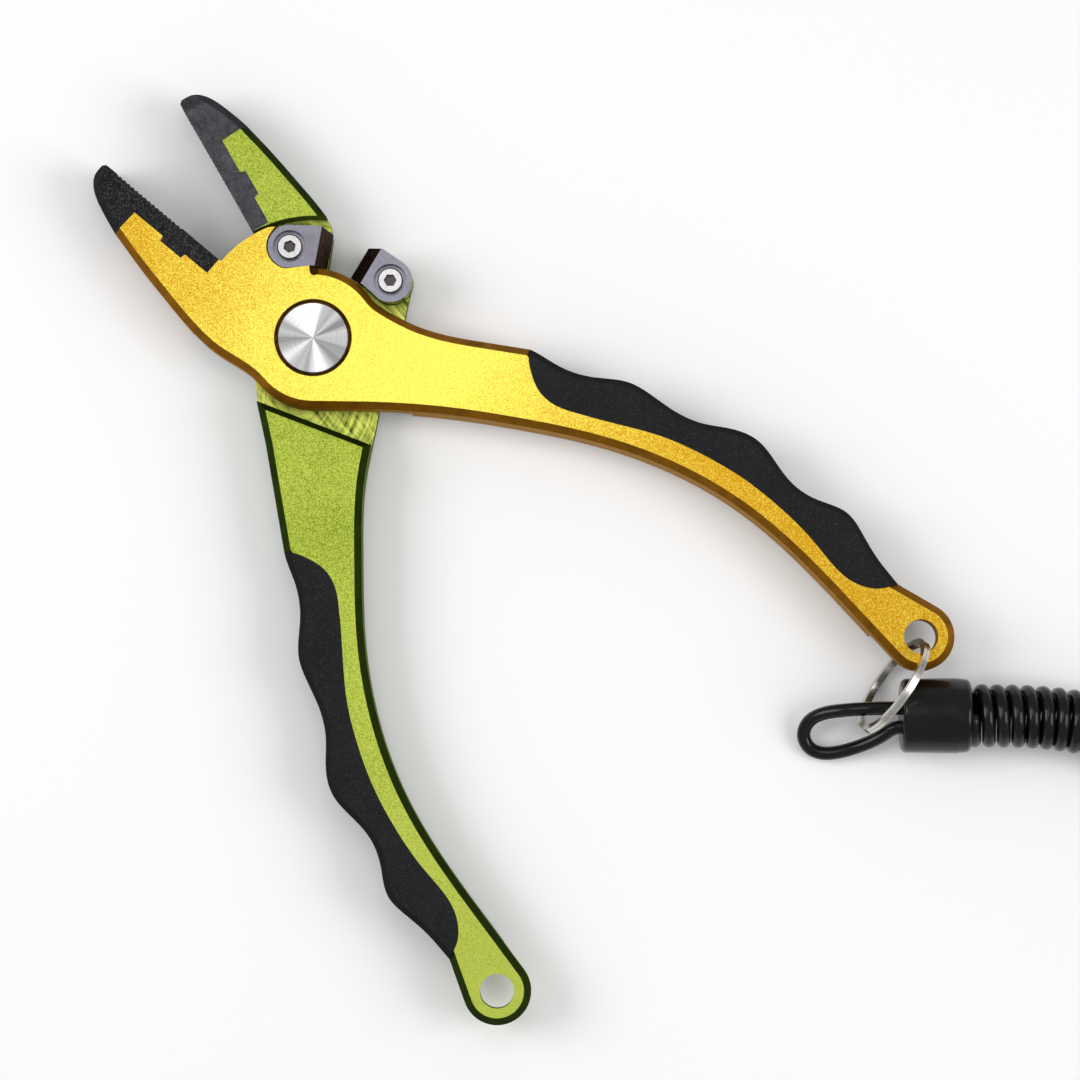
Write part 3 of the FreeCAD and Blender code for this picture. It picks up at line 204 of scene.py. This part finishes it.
def make_lanyard():
    """The curly cord, and the plain loop at each end of it."""
    coil_path = helix_about(line_of(COIL_ROUTE), COIL_MEAN_RADIUS, COIL_PITCH)
    coil = tube_mesh("coiled_cord", coil_path, CORD / 2)
    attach(coil, "gold")
    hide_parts("lanyard_coil")
    far_loop = [from_far_cap(p) for p in FAR_LOOP]
    for name, node, route, cap_turn in (("near_loop", "near_cord_loop", NEAR_LOOP, NEAR_CAP_TURN),
                                        ("far_loop", "far_cord_loop", far_loop, FAR_CAP_TURN + 180)):
        first, last = [ahead(end, cap_turn, LOOP_HOLD) for end in (route[0], route[-1])]
        route = [first, *route, last]
        length = length_of(line_of(route))
        loop = spline_curve(name, route, CORD)
        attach(loop, "gold")
        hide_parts(node)


make_lanyard()

# ---------------------------------------------------------------- materials

# Heights, places and distances on the CAD nodes, in millimetres.
STEP_FROM, STEP_TO = 10.4, 10.5         # milled faces lie lower than this, and the top faces higher
SOCKET_FLOOR, SOCKET_TOP = 8.7, 10.15   # heights between which the cutter screws' sockets get painted shade
MILLING_CENTRE = (-6.0, 9.0)            # what the cutter's arcs on the milled faces run about
MILLING_TURN = math.radians(-48.0)      # the direction of the streaks across them
GRINDING_TURN = math.radians(-60.0)     # the direction of the blades' grinding lines


class Shader:
    """A node material being put together."""

    def __init__(self, name, **values):
        self.material = bpy.data.materials.new(name)
        self.material.use_nodes = True
        self.tree = self.material.node_tree
        self.bsdf = self.tree.nodes["Principled BSDF"]
        for socket, value in values.items():
            self.bsdf.inputs[socket.replace("_", " ")].default_value = value
        self.place = self.add("ShaderNodeTexCoord").outputs["Object"]

    def add(self, kind, **props):
        node = self.tree.nodes.new(kind)
        for prop, value in props.items():
            setattr(node, prop, value)
        return node

    def link(self, source, target):
        self.tree.links.new(source, target)

    def noise(self, scale, detail=2.0, rough=0.5, place=None):
        node = self.add("ShaderNodeTexNoise")
        self.link(place or self.place, node.inputs["Vector"])
        node.inputs["Scale"].default_value = scale
        node.inputs["Detail"].default_value = detail
        node.inputs["Roughness"].default_value = rough
        return node.outputs["Fac"]

    def cells(self, scale, place=None):
        """A random value for each small cell."""
        node = self.add("ShaderNodeTexVoronoi")
        self.link(place or self.place, node.inputs["Vector"])
        node.inputs["Scale"].default_value = scale
        split = self.add("ShaderNodeSeparateColor")
        self.link(node.outputs["Color"], split.inputs["Color"])
        return split.outputs["Red"]

    def stretched(self, x, y, z, turn=0.0):
        """The object's coordinates scaled along each axis and turned in plan."""
        node = self.add("ShaderNodeMapping")
        self.link(self.place, node.inputs["Vector"])
        node.inputs["Rotation"].default_value = (0, 0, turn)
        node.inputs["Scale"].default_value = (x, y, z)
        return node.outputs["Vector"]

    def ramp(self, value, low, high, start=0.0, end=1.0):
        """Maps a value's range from low..high to start..end, clamped."""
        node = self.add("ShaderNodeMapRange")
        self.link(value, node.inputs["Value"])
        for socket, number in (("From Min", low), ("From Max", high), ("To Min", start), ("To Max", end)):
            node.inputs[socket].default_value = number
        return node.outputs["Result"]

    def math(self, operation, a, b=None):
        node = self.add("ShaderNodeMath", operation=operation)
        for i, source in enumerate((a, b)):
            if source is None:
                continue
            if isinstance(source, (int, float)):
                node.inputs[i].default_value = source
            else:
                self.link(source, node.inputs[i])
        return node.outputs["Value"]

    def mix(self, amount, a, b):
        """Goes from colour a to colour b. Each is a colour or a node's output."""
        node = self.add("ShaderNodeMix", data_type="RGBA")
        self.link(amount, node.inputs[0])
        for socket, source in ((node.inputs[6], a), (node.inputs[7], b)):
            if isinstance(source, (tuple, list)):
                socket.default_value = (*source, 1.0)[:4]
            else:
                self.link(source, socket)
        return node.outputs[2]

    def colour(self, source):
        self.link(source, self.bsdf.inputs["Base Color"])

    def roughness(self, source):
        self.link(source, self.bsdf.inputs["Roughness"])

    def bump(self, height, distance, strength=1.0, after=None):
        """Roughens the surface by a height, on top of an earlier bump where one is given."""
        node = self.add("ShaderNodeBump")
        self.link(height, node.inputs["Height"])
        node.inputs["Distance"].default_value = distance
        node.inputs["Strength"].default_value = strength
        if after is not None:
            self.link(after, node.inputs["Normal"])
        self.link(node.outputs["Normal"], self.bsdf.inputs["Normal"])
        return node.outputs["Normal"]

    def along(self, axis, start=0.0):
        """How far a point is along an axis of the object as CAD made it, in millimetres."""
        split = self.add("ShaderNodeSeparateXYZ")
        self.link(self.place, split.inputs["Vector"])
        return self.math("SUBTRACT", self.math("MULTIPLY", split.outputs[axis], 1000.0), start)

    def height(self):
        return self.along("Z")

    def away_from(self, x=0.0, y=0.0):
        """Distance in plan from a spot, in millimetres."""
        one, two = self.along("X", x), self.along("Y", y)
        square = self.math("ADD", self.math("MULTIPLY", one, one), self.math("MULTIPLY", two, two))
        return self.math("SQRT", square)

    def line_noise(self, value, scale, detail=3.0):
        """Noise that changes along one value only."""
        node = self.add("ShaderNodeTexNoise", noise_dimensions="1D")
        self.link(value, node.inputs["W"])
        node.inputs["Scale"].default_value = scale
        node.inputs["Detail"].default_value = detail
        return node.outputs["Fac"]

    def facing_up(self, low, high, start=0.0, end=1.0):
        """1 on surfaces that face straight up or down, and 0 on walls and chamfers."""
        node = self.add("ShaderNodeTexCoord")
        split = self.add("ShaderNodeSeparateXYZ")
        self.link(node.outputs["Normal"], split.inputs["Vector"])
        return self.ramp(self.math("ABSOLUTE", split.outputs["Z"]), low, high, start, end)


def anodised(name, bright, deep_grain_and_shade, chamfer_shade, wall_shade, floor_tones, painted_light_spot):
    """Bead-blasted and anodised aluminium: a fine grain and darker milled laps, with painted shade on its
    chamfers and walls.

    The tone, and with it painted light and shade, goes from a lift to a drop between two distances
    from a spot, which is given as x, y, near, far, lift, drop in millimetres.
    """
    s = Shader(name, Metallic=1.0)
    grain = s.cells(7400.0)
    cloud = s.noise(5200.0, 3.0, 0.7)
    patch = s.noise(70.0, 3.0, 0.6)
    tone = s.math("ADD", s.math("MULTIPLY", grain, 0.6), s.math("MULTIPLY", cloud, 0.4))
    tone = s.math("ADD", tone, s.math("MULTIPLY", s.math("SUBTRACT", patch, 0.5), 0.3))
    # Painted light and shade: the tone changes with the distance from a spot, painting a broad pool of
    # light across the faces.
    x, y, near, far, lift, drop = painted_light_spot
    tone = s.math("ADD", tone, s.ramp(s.away_from(x, y), near, far, lift, -drop))
    # The faces go from the deep colour, which gives dark grains and the painted shade, to the bright one,
    # the painted lit colour.
    face = s.mix(s.ramp(tone, 0.1, 0.72), deep_grain_and_shade, bright)
    # Painted shade: chamfers and walls get darker colours than the faces, standing in for the dark
    # reflections and shade on them.
    slope = s.mix(s.ramp(s.noise(400.0, 3.0), 0.3, 0.7), chamfer_shade, tuple(c * 1.6 for c in chamfer_shade))
    steep = s.mix(s.ramp(s.noise(900.0, 2.0), 0.3, 0.7), wall_shade, tuple(c * 1.4 for c in wall_shade))
    arcs = s.line_noise(s.away_from(*MILLING_CENTRE), 1.3, 5.0)
    streaks = s.noise(200.0, 5.0, 0.7, s.stretched(1.0, 5.0, 1.0, MILLING_TURN))
    marks = s.math("ADD", s.math("MULTIPLY", arcs, 0.35), s.math("MULTIPLY", streaks, 0.65))
    floor = s.mix(s.ramp(marks, 0.36, 0.58), *floor_tones)
    milled = s.ramp(s.height(), STEP_FROM, STEP_TO, 1.0, 0.0)
    face = s.mix(milled, face, floor)
    sloped = s.mix(s.facing_up(0.45, 0.6), steep, slope)
    s.colour(s.mix(s.facing_up(0.82, 0.97), sloped, face))
    s.link(s.facing_up(0.3, 0.6, 0.75, 1.0), s.bsdf.inputs["Metallic"])
    dull = s.facing_up(0.5, 0.97, 0.36, 0.0)
    s.roughness(s.math("ADD", s.ramp(grain, 0.0, 1.0, 0.3, 0.5), dull))
    rough = s.bump(grain, 0.00003, 0.4)
    rough = s.bump(s.noise(5200.0, 2.0, 0.6), 0.00005, 0.6, after=rough)
    s.bump(s.math("MULTIPLY", marks, milled), 0.00006, 0.5, after=rough)
    return s.material


def black_insert():
    """Blackened steel with a speckled finish. The green side's is greyer and more worn."""
    s = Shader("insert_black", Metallic=0.35, Specular_IOR_Level=0.18)
    speck = s.cells(6500.0)
    cloud = s.noise(520.0, 4.0, 0.75)
    dark = s.mix(s.ramp(cloud, 0.35, 0.7), (0.003, 0.003, 0.0035), (0.009, 0.009, 0.01))
    worn = s.mix(s.ramp(cloud, 0.35, 0.7), (0.025, 0.026, 0.03), (0.075, 0.076, 0.084))
    base = s.mix(s.ramp(s.along("Y"), -0.5, 0.5), worn, dark)
    base = s.mix(s.ramp(speck, 0.7, 0.98, 0.0, 0.45), base, (0.15, 0.15, 0.16))
    # Painted shade: the chamfers and sloped tip facets are painted near black.
    s.colour(s.mix(s.facing_up(0.6, 0.95), (0.0025, 0.0025, 0.003), base))
    s.roughness(s.ramp(speck, 0.0, 1.0, 0.36, 0.6))
    fine = s.bump(speck, 0.00003, 0.35)
    s.bump(s.noise(1500.0, 3.0), 0.00006, 0.4, after=fine)
    return s.material


def grip_rubber():
    """Moulded black rubber with a fine grain and a few pale specks."""
    s = Shader("grip_rubber", Specular_IOR_Level=0.14)
    speck = s.cells(6000.0)
    cloud = s.noise(160.0, 3.0, 0.6)
    base = s.mix(s.ramp(cloud, 0.3, 0.7), (0.005, 0.0053, 0.006), (0.0105, 0.011, 0.012))
    base = s.mix(s.ramp(speck, 0.8, 1.0, 0.0, 0.22), base, (0.09, 0.09, 0.095))
    # Painted shade: the chamfered rims are painted near black.
    s.colour(s.mix(s.facing_up(0.75, 0.95), (0.002, 0.002, 0.0025), base))
    s.roughness(s.ramp(cloud, 0.3, 0.7, 0.5, 0.66))
    fine = s.bump(s.noise(5200.0, 2.0), 0.00005, 0.5)
    s.bump(s.noise(1700.0, 3.0), 0.00008, 0.3, after=fine)
    return s.material


def blade_steel():
    """Ground steel with a faint violet temper, and ground bevels painted nearly black and brownish, as a
    painted reflection.
    """
    s = Shader("blade_steel", Metallic=1.0)
    lines = s.noise(900.0, 4.0, 0.6, s.stretched(1.0, 14.0, 1.0, GRINDING_TURN))
    smoke = s.noise(260.0, 3.0, 0.6)
    face = s.mix(s.ramp(lines, 0.35, 0.65), (0.11, 0.11, 0.135), (0.22, 0.22, 0.255))
    face = s.mix(s.ramp(smoke, 0.45, 0.75, 0.0, 0.5), face, (0.12, 0.1, 0.12))
    # Painted reflection: the bevels are given a dark brown colour for what they reflect.
    bevel = s.mix(s.ramp(lines, 0.35, 0.65), (0.03, 0.018, 0.014), (0.085, 0.05, 0.04))
    s.colour(s.mix(s.facing_up(0.72, 0.9), bevel, face))
    s.roughness(s.ramp(lines, 0.3, 0.7, 0.2, 0.34))
    s.bump(lines, 0.00002, 0.4)
    return s.material


def screw_steel():
    """Bright zinc-plated screws, with painted shade inside their sockets."""
    s = Shader("screw_steel", Metallic=1.0)
    cloud = s.noise(1300.0, 3.0, 0.6)
    bright = s.mix(s.ramp(cloud, 0.3, 0.7), (0.3, 0.3, 0.3), (0.5, 0.49, 0.48))
    height = s.height()
    # Painted shade: the sockets' walls and floors are painted dark.
    socket_shade = s.math("MULTIPLY", s.ramp(height, SOCKET_FLOOR, SOCKET_FLOOR + 0.1),
                    s.ramp(height, SOCKET_TOP - 0.25, SOCKET_TOP, 1.0, 0.0))
    s.colour(s.mix(socket_shade, bright, (0.05, 0.045, 0.045)))
    s.roughness(s.ramp(cloud, 0.3, 0.7, 0.2, 0.32))
    s.bump(s.noise(3000.0), 0.00002, 0.3)
    return s.material


def turned_steel():
    """The turned cap: fine rings about the pivot, and the rays that such rings reflect, also painted into
    its colour.
    """
    s = Shader("turned_steel", Metallic=1.0, Anisotropic=0.8)
    around = s.add("ShaderNodeTangent", direction_type="RADIAL", axis="Z")
    s.link(around.outputs["Tangent"], s.bsdf.inputs["Tangent"])
    groove = s.line_noise(s.away_from(), 9.0)
    flat = s.add("ShaderNodeVectorMath", operation="MULTIPLY")
    s.link(s.place, flat.inputs[0])
    flat.inputs[1].default_value = (1.0, 1.0, 0.0)
    outward = s.add("ShaderNodeVectorMath", operation="NORMALIZE")
    s.link(flat.outputs["Vector"], outward.inputs[0])
    # Painted reflection: bright and dark rays round the pivot are painted into the colour.
    rays = s.noise(1.6, 1.0, 0.4, outward.outputs["Vector"])
    fine_rays = s.noise(16.0, 3.0, 0.7, outward.outputs["Vector"])
    shine = s.math("ADD", s.math("MULTIPLY", rays, 0.86), s.math("MULTIPLY", fine_rays, 0.14))
    tone = s.mix(s.ramp(shine, 0.36, 0.62), (0.19, 0.19, 0.19), (0.74, 0.74, 0.75))
    s.colour(s.mix(s.ramp(groove, 0.35, 0.65, 0.0, 0.25), tone, (0.3, 0.3, 0.3)))
    s.roughness(s.ramp(groove, 0.3, 0.7, 0.27, 0.38))
    s.bump(groove, 0.00001, 0.2)
    return s.material


def bright_metal(name, low, high, rough):
    """Plated wire and cast fittings, with faint wear."""
    s = Shader(name, Metallic=1.0)
    cloud = s.noise(600.0, 4.0, 0.65)
    fine = s.noise(2600.0, 2.0)
    s.colour(s.mix(s.ramp(cloud, 0.3, 0.7), low, high))
    s.roughness(s.ramp(fine, 0.3, 0.7, rough * 0.75, rough * 1.3))
    s.bump(fine, 0.00002, 0.3)
    return s.material


def glossy_black(name, low, high, rough, bump_scale):
    """Smooth black plastic or rubber with soft highlights and slight scuffs."""
    s = Shader(name, Specular_IOR_Level=0.28)
    cloud = s.noise(300.0, 4.0, 0.65)
    s.colour(s.mix(s.ramp(cloud, 0.3, 0.7), low, high))
    s.roughness(s.ramp(cloud, 0.3, 0.7, rough * 0.8, rough * 1.25))
    s.bump(s.noise(bump_scale, 3.0), 0.00003, 0.3)
    return s.material


def pale_plastic():
    """The thrust washer between the two laps."""
    s = Shader("washer_plastic")
    cloud = s.noise(500.0, 3.0)
    s.colour(s.mix(s.ramp(cloud, 0.3, 0.7), (0.55, 0.52, 0.44), (0.66, 0.64, 0.58)))
    s.roughness(s.ramp(cloud, 0.3, 0.7, 0.4, 0.55))
    s.bump(s.noise(2000.0), 0.00002, 0.3)
    return s.material


def dress(material, *names):
    """Gives CAD nodes and drawn pieces a material."""
    for name in names:
        thing = nodes[name] if name in nodes else bpy.data.objects[name]
        if not thing.data.materials:
            thing.data.materials.append(material)
        for slot in thing.material_slots:
            slot.material = material


dress(anodised("gold_anodised", bright=(0.97, 0.9, 0.14), deep_grain_and_shade=(0.58, 0.27, 0.003),
               chamfer_shade=(0.19, 0.08, 0.005), wall_shade=(0.3, 0.145, 0.01),
               floor_tones=((0.16, 0.07, 0.004), (0.04, 0.017, 0.002)),
               painted_light_spot=(-14.0, -7.0, 9.0, 56.0, 0.13, 0.32)), "gold_half")
dress(anodised("green_anodised", bright=(0.52, 0.6, 0.095), deep_grain_and_shade=(0.11, 0.17, 0.003),
               chamfer_shade=(0.014, 0.026, 0.001), wall_shade=(0.08, 0.12, 0.008),
               floor_tones=((0.03, 0.06, 0.001), (0.62, 0.68, 0.13)),
               painted_light_spot=(10.0, 0.0, 45.0, 125.0, -0.05, -0.28)), "green_half")
dress(black_insert(), "gold_jaw_insert", "green_jaw_insert")
dress(grip_rubber(), "gold_grip", "green_grip")
dress(blade_steel(), "gold_cutter", "green_cutter")
dress(screw_steel(), "gold_cutter_screw", "green_cutter_screw", "gold_jaw_screw", "green_jaw_screw",
      "pivot_screw", "back_washer")
dress(turned_steel(), "pivot_bolt")
dress(pale_plastic(), "lap_washer")
dress(bright_metal("spring_steel", (0.28, 0.28, 0.28), (0.42, 0.42, 0.42), 0.35), "pivot_spring")
dress(bright_metal("ring_nickel", (0.5, 0.48, 0.44), (0.68, 0.66, 0.62), 0.2), "split_ring")
dress(glossy_black("cord_plastic", (0.002, 0.002, 0.002), (0.005, 0.005, 0.005), 0.17, 1800.0),
      "coiled_cord", "near_loop", "far_loop")
dress(glossy_black("cap_rubber", (0.002, 0.002, 0.002), (0.005, 0.005, 0.005), 0.2, 900.0),
      "near_cord_cap", "far_cord_cap")
dress(bright_metal("clip_metal", (0.45, 0.45, 0.45), (0.62, 0.62, 0.61), 0.2), "swivel_eye",
      "clip_body", "clip_gate", "clip_pin")

# ---------------------------------------------------------------- floor and light

FLOOR_REACH = 3.0           # metres from the middle to each side
FLOOR_DROP = 0.2 * MM       # below the pliers, so that no two faces lie in one plane
# Each light: its name, where it is, where it faces, its width in metres and its power in watts.
LIGHTS = (("key", (0.02, -0.037, 0.4), (-0.02, -0.015, 0.0), 0.17, 0.19),
          ("left", (0.45, 0.45, 0.62), (-0.05, 0.0, 0.0), 0.5, 3.4),
          ("right", (-0.55, -0.45, 0.6), (-0.05, 0.0, 0.0), 0.5, 3.2))
ROOM_BRIGHTNESS = 0.5


def make_stage():
    """The pale floor that the pliers lie on."""
    mesh = bpy.data.meshes.new("floor")
    corners = [(-1, -1, 0), (1, -1, 0), (1, 1, 0), (-1, 1, 0)]
    mesh.from_pydata([tuple(FLOOR_REACH * c for c in corner) for corner in corners], [], [(0, 1, 2, 3)])
    floor = bpy.data.objects.new("floor", mesh)
    scene.collection.objects.link(floor)
    floor.location.z = -FLOOR_DROP
    pale = Shader("floor_pale", Roughness=0.85)
    pale.bsdf.inputs["Base Color"].default_value = (0.9, 0.9, 0.9, 1.0)
    mesh.materials.append(pale.material)


def area_light(name, spot, target, width, power):
    """A square light at a spot, facing a target."""
    data = bpy.data.lights.new(name, "AREA")
    data.shape = "SQUARE"
    data.size, data.energy = width, power
    light = bpy.data.objects.new(name, data)
    light.location = spot
    light.rotation_mode = "QUATERNION"
    light.rotation_quaternion = (Vector(target) - Vector(spot)).to_track_quat("-Z", "Y")
    scene.collection.objects.link(light)


def make_light():
    """A small light over the pivot, a broad one at each side, and a bright, even room."""
    for light in LIGHTS:
        area_light(*light)
    world = bpy.data.worlds.new("studio")
    world.use_nodes = True
    background = world.node_tree.nodes["Background"]
    background.inputs["Color"].default_value = (1.0, 1.0, 1.0, 1.0)
    background.inputs["Strength"].default_value = ROOM_BRIGHTNESS
    scene.world = world


make_stage()
make_light()
bpy.context.view_layer.update()
